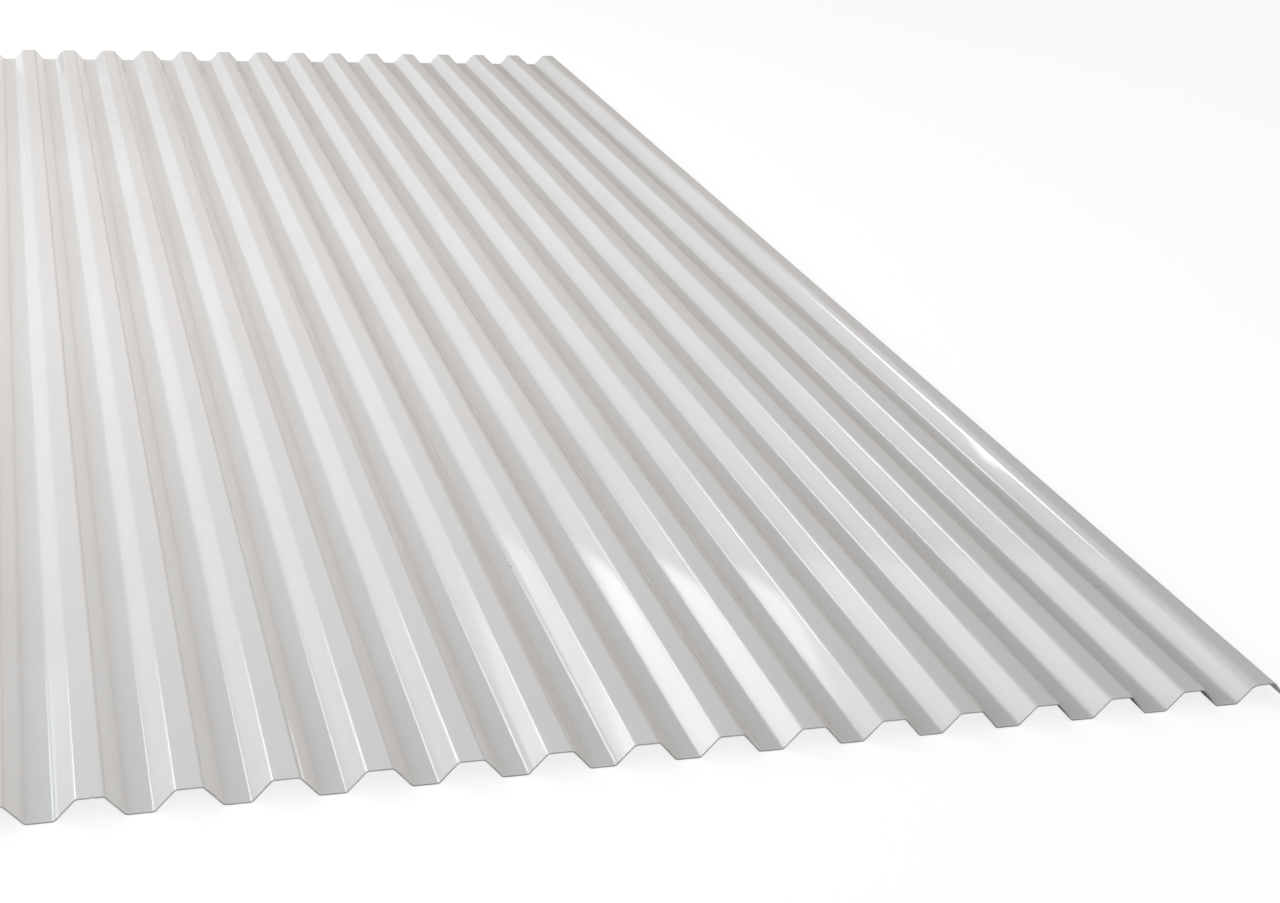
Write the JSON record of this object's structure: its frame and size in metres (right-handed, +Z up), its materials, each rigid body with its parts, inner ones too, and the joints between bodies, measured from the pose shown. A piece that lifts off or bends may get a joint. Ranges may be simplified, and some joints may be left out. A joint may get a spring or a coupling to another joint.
{
  "type": "corrugated plastic roofing sheet",
  "caption": "Opaque white plastic roofing sheet formed into long trapezoidal waves, which stiffen it, drain rain along their troughs and lap over the next sheet.",
  "frame": {"origin": "middle of the sheet's width and length, on the underside of its middle trough, which is where it rests", "axes": "+X across the waves, +Y along them, +Z up, out of the weather side"},
  "size_m": [1.095, 2.5, 0.018],
  "materials": {
    "white_pvc": "gloss white rigid PVC"
  },
  "bodies": {
    "root": {"roofing_sheet": "white_pvc"}
  },
  "joints": []
}
